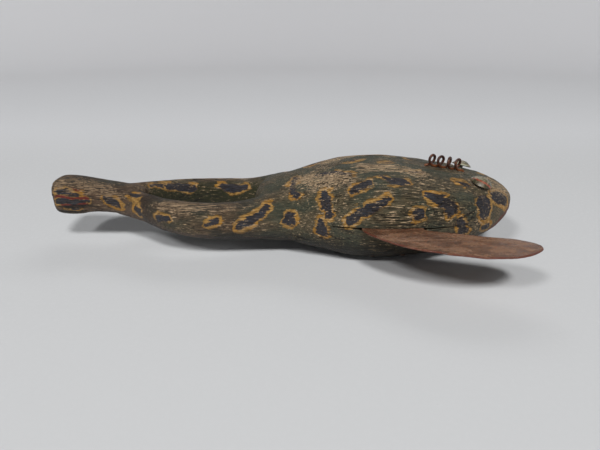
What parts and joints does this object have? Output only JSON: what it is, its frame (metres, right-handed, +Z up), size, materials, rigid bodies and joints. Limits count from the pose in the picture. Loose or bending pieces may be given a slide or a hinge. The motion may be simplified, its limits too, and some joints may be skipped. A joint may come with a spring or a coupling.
{
  "type": "frog fish decoy",
  "caption": "Carved and painted wooden frog decoy in mid kick, with sheet metal front fins that bend, tack eyes, a lead belly weight and a looped wire line tie.",
  "frame": {"origin": "under the middle of the decoy's overall box, on the surface the belly rests on", "axes": "+X points to the nose, +Y to the frog's left, +Z up"},
  "size_m": [0.206, 0.12, 0.0408],
  "materials": {
    "painted_wood": "worn leopard frog paint over carved softwood",
    "lead": "dull poured lead",
    "fin_sheet": "rusted sheet metal with old red-brown paint",
    "iron": "dark iron",
    "eye_tack": "domed tack with worn paint",
    "wire": "rusted iron wire"
  },
  "bodies": {
    "frog": {"carved_body": "painted_wood", "lead_ballast": "lead", "right_fin_root": "fin_sheet", "left_fin_root": "fin_sheet", "right_front_brad": "iron", "right_rear_brad": "iron", "left_front_brad": "iron", "left_rear_brad": "iron", "right_eye_tack": "eye_tack", "left_eye_tack": "eye_tack", "line_tie": "wire"},
    "right_fin_body": {"right_fin": "fin_sheet"},
    "left_fin_body": {"left_fin": "fin_sheet"}
  },
  "joints": [
    {"name": "right_fin_bend", "type": "hinge", "parent": "frog", "child": "right_fin_body", "pos_m": [0.04546, -0.0321, 0.01805], "axis": [-1, 0, 0], "range_deg": [-25, 25]},
    {"name": "left_fin_bend", "type": "hinge", "parent": "frog", "child": "left_fin_body", "pos_m": [0.04546, 0.0321, 0.01805], "axis": [1, 0, 0], "range_deg": [-25, 25]}
  ]
}
